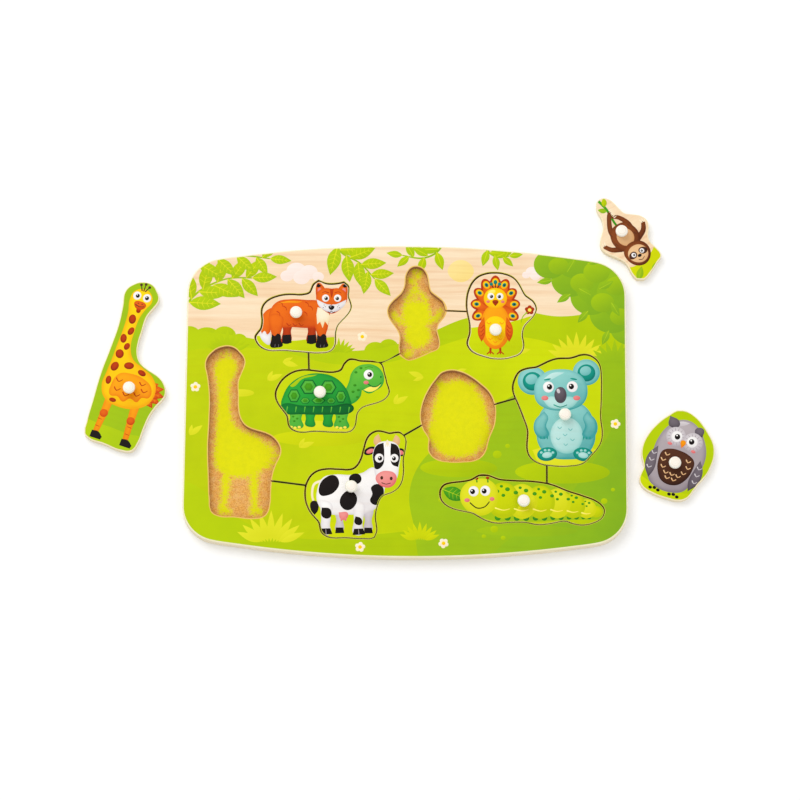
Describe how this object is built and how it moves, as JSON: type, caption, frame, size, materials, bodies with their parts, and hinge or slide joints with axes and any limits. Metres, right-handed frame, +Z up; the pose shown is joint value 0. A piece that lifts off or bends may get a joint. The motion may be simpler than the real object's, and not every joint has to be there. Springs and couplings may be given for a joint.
{
  "type": "wooden knob puzzle",
  "caption": "Flat wooden puzzle board with crowned edges, picture-shaped recesses and lift-out pieces, each carried by a turned knob.",
  "frame": {"origin": "centre of the board's underside, on the table that the board and the loose pieces lie on", "axes": "+X to the right along the board's long side, +Y away from the person who plays, +Z up out of the printed face"},
  "size_m": [0.4271, 0.2569, 0.0156],
  "materials": {
    "backing_board": "bare fibreboard",
    "frame_panel": "printed plywood under satin lacquer",
    "ostrich_piece": "printed plywood under satin lacquer",
    "ostrich_knob": "lacquered turned wood",
    "fox_piece": "printed plywood under satin lacquer",
    "fox_knob": "lacquered turned wood",
    "tortoise_piece": "printed plywood under satin lacquer",
    "tortoise_knob": "lacquered turned wood",
    "sloth_piece": "printed plywood under satin lacquer",
    "sloth_knob": "lacquered turned wood",
    "peacock_piece": "printed plywood under satin lacquer",
    "peacock_knob": "lacquered turned wood",
    "owl_piece": "printed plywood under satin lacquer",
    "owl_knob": "lacquered turned wood",
    "koala_piece": "printed plywood under satin lacquer",
    "koala_knob": "lacquered turned wood",
    "inchworm_piece": "printed plywood under satin lacquer",
    "inchworm_knob": "lacquered turned wood",
    "cow_piece": "printed plywood under satin lacquer",
    "cow_knob": "lacquered turned wood"
  },
  "bodies": {
    "board": {"backing_board": "backing_board", "frame_panel": "frame_panel"},
    "ostrich": {"ostrich_piece": "ostrich_piece", "ostrich_knob": "ostrich_knob"},
    "fox": {"fox_piece": "fox_piece", "fox_knob": "fox_knob"},
    "tortoise": {"tortoise_piece": "tortoise_piece", "tortoise_knob": "tortoise_knob"},
    "sloth": {"sloth_piece": "sloth_piece", "sloth_knob": "sloth_knob"},
    "peacock": {"peacock_piece": "peacock_piece", "peacock_knob": "peacock_knob"},
    "owl": {"owl_piece": "owl_piece", "owl_knob": "owl_knob"},
    "koala": {"koala_piece": "koala_piece", "koala_knob": "koala_knob"},
    "inchworm": {"inchworm_piece": "inchworm_piece", "inchworm_knob": "inchworm_knob"},
    "cow": {"cow_piece": "cow_piece", "cow_knob": "cow_knob"}
  },
  "joints": [
    {"name": "ostrich_lift", "type": "slide", "parent": "board", "child": "ostrich", "axis": [0, 0, 1], "range_m": [0, 0.03]},
    {"name": "fox_lift", "type": "slide", "parent": "board", "child": "fox", "axis": [0, 0, 1], "range_m": [0, 0.03]},
    {"name": "tortoise_lift", "type": "slide", "parent": "board", "child": "tortoise", "axis": [0, 0, 1], "range_m": [0, 0.03]},
    {"name": "sloth_lift", "type": "slide", "parent": "board", "child": "sloth", "axis": [0, 0, 1], "range_m": [0, 0.03]},
    {"name": "peacock_lift", "type": "slide", "parent": "board", "child": "peacock", "axis": [0, 0, 1], "range_m": [0, 0.03]},
    {"name": "owl_lift", "type": "slide", "parent": "board", "child": "owl", "axis": [0, 0, 1], "range_m": [0, 0.03]},
    {"name": "koala_lift", "type": "slide", "parent": "board", "child": "koala", "axis": [0, 0, 1], "range_m": [0, 0.03]},
    {"name": "inchworm_lift", "type": "slide", "parent": "board", "child": "inchworm", "axis": [0, 0, 1], "range_m": [0, 0.03]},
    {"name": "cow_lift", "type": "slide", "parent": "board", "child": "cow", "axis": [0, 0, 1], "range_m": [0, 0.03]}
  ]
}
